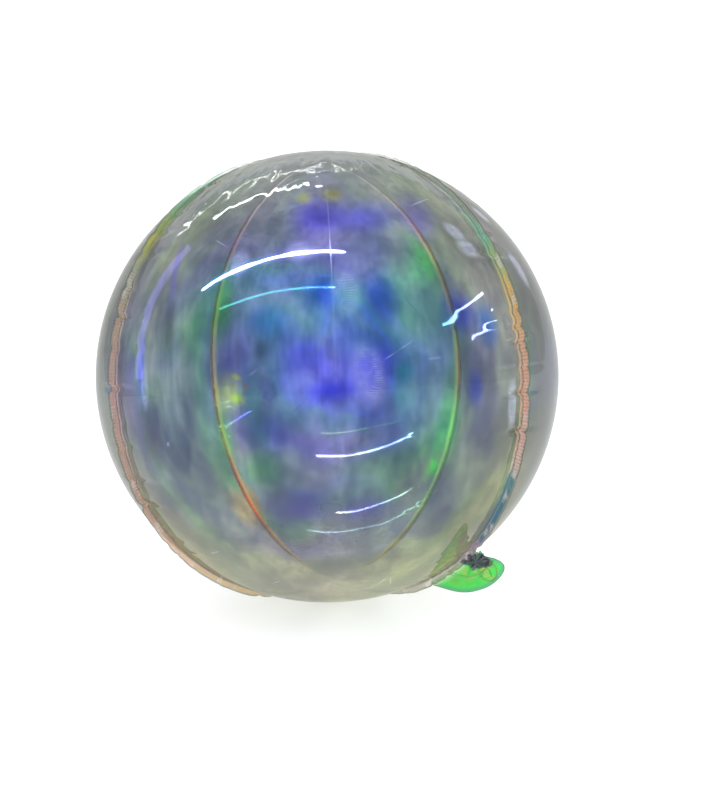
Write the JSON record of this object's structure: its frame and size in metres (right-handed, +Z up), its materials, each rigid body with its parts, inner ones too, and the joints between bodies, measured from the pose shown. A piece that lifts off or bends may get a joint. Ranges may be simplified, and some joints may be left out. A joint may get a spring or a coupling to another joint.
{
  "type": "four-sided foil balloon",
  "caption": "Round balloon of clear iridescent film, its panels welded from pole to pole with narrow fins, with a flat inflation tail low on one weld.",
  "frame": {"origin": "middle of the bounding box at its base, under the lower pole", "axes": "+Z up along the polar axis; -Y is the side of the panel facing the viewer, with the inflation tail between it and the +X panel"},
  "size_m": [0.3996, 0.3996, 0.3883],
  "materials": {
    "front_panel": "clear iridescent film, blue and violet",
    "right_panel": "clear iridescent film, grey at a slant",
    "back_panel": "clear iridescent film, blue and teal",
    "left_panel": "clear iridescent film, grey at a slant",
    "inflation_tail": "clear iridescent film, green by reflection"
  },
  "bodies": {
    "root": {"front_panel": "front_panel", "right_panel": "right_panel", "back_panel": "back_panel", "left_panel": "left_panel", "inflation_tail": "inflation_tail"}
  },
  "joints": []
}
